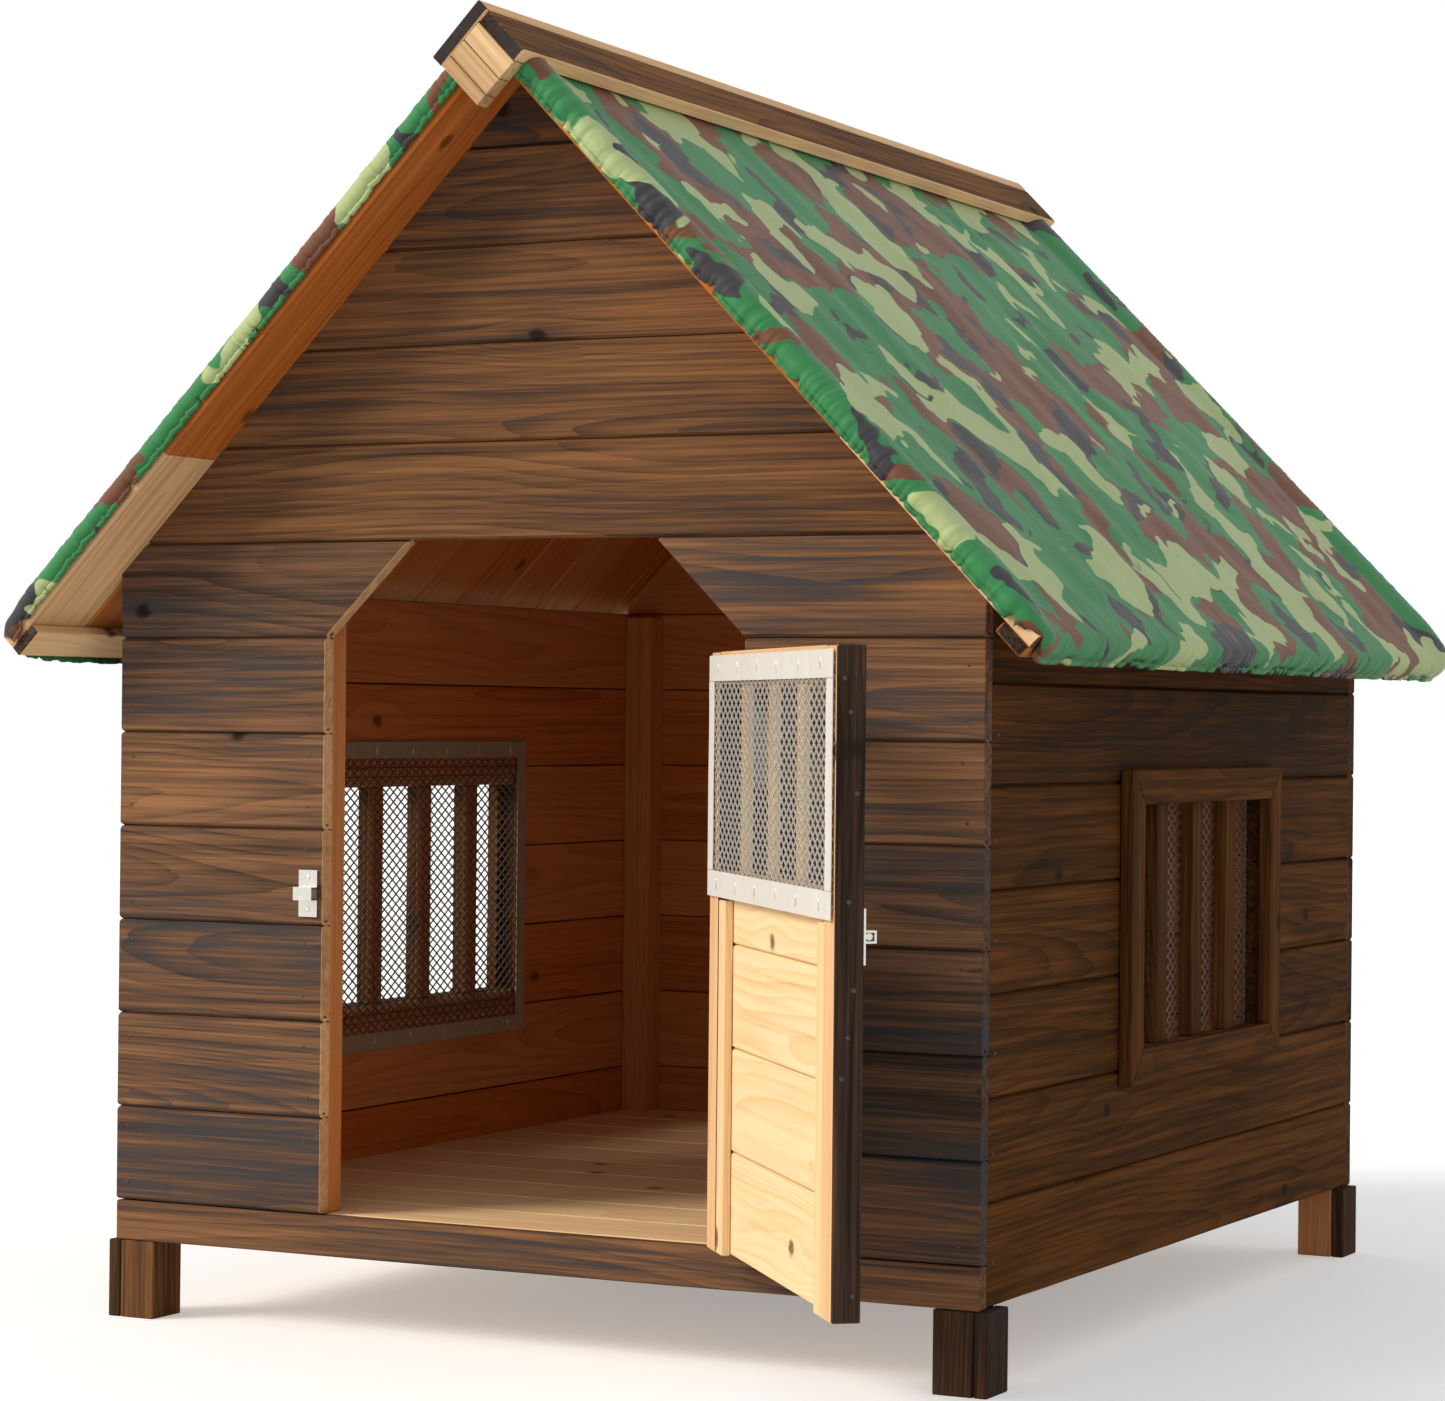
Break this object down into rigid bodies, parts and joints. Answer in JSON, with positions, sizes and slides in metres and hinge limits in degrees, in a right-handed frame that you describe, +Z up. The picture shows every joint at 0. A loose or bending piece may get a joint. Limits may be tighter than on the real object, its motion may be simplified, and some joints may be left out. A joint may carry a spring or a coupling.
{
  "type": "dog house",
  "caption": "Boarded wooden dog house with a pitched roof under a fitted rain cover, barred side windows and a hinged half-netted door with a barrel bolt.",
  "frame": {"origin": "on the floor, under the middle of the whole house's box with its door standing open", "axes": "+X to the house's right seen from its front, +Y to its back, +Z up; the doorway looks along -Y"},
  "size_m": [0.952, 1.345, 1.0811],
  "materials": {
    "charred": "flame-charred and brushed softwood, thin oil finish",
    "bare": "planed fir, clear oil",
    "cloth": "coated woven polyester, woodland camouflage print, slight sheen",
    "net": "galvanised expanded metal",
    "strip": "mill-finish flat strip, stapled",
    "fittings": "bright zinc plate"
  },
  "bodies": {
    "house": {"sill_board": "charred", "front_boards_left": "charred", "front_boards_right": "charred", "front_header_left": "charred", "front_header_right": "charred", "front_gable_boards": "charred", "back_wall_boards": "charred", "side_boards_left": "charred", "side_boards_right": "charred", "foot_front_left": "charred", "foot_front_right": "charred", "foot_rear_left": "charred", "foot_rear_right": "charred", "window_casing_left": "charred", "window_casing_right": "charred", "window_bars_left": "charred", "window_bars_right": "charred", "ridge_cap_left": "charred", "ridge_cap_right": "charred", "jamb_batten_left": "bare", "jamb_batten_right": "bare", "corner_post_front_left": "bare", "corner_post_front_right": "bare", "corner_post_rear_left": "bare", "corner_post_rear_right": "bare", "floor_bearer_left": "bare", "floor_bearer_right": "bare", "floor_boards": "bare", "roof_boards_left": "bare", "roof_boards_right": "bare", "eave_batten_left": "bare", "eave_batten_right": "bare", "ridge_beam": "bare", "ridge_end_front": "bare", "ridge_end_rear": "bare", "rain_cover": "cloth", "window_net_left": "net", "window_net_right": "net", "window_strips_left": "strip", "window_strips_right": "strip", "hinge_lower_wall_leaf": "fittings", "hinge_upper_wall_leaf": "fittings", "bolt_keeper": "fittings"},
    "door": {"door_stile_hinge": "charred", "door_stile_free": "charred", "door_top_rail": "bare", "door_mid_rail": "bare", "door_boards": "bare", "door_batten_hinge": "bare", "door_batten_free": "bare", "door_slat_1": "bare", "door_slat_2": "bare", "door_slat_3": "bare", "door_net": "net", "door_strips": "strip", "hinge_lower_door_leaf": "fittings", "hinge_upper_door_leaf": "fittings", "bolt_housing": "fittings"},
    "bolt": {"bolt_rod": "fittings"}
  },
  "joints": [
    {"name": "door_swing", "type": "hinge", "parent": "house", "child": "door", "pos_m": [0.194, -0.35946, 0.335], "axis": [0, 0, 1], "range_deg": [-129.7, 28]},
    {"name": "bolt_slide", "type": "slide", "parent": "door", "child": "bolt", "axis": [0.6388, -0.7694, 0], "range_m": [0, 0.022]}
  ]
}
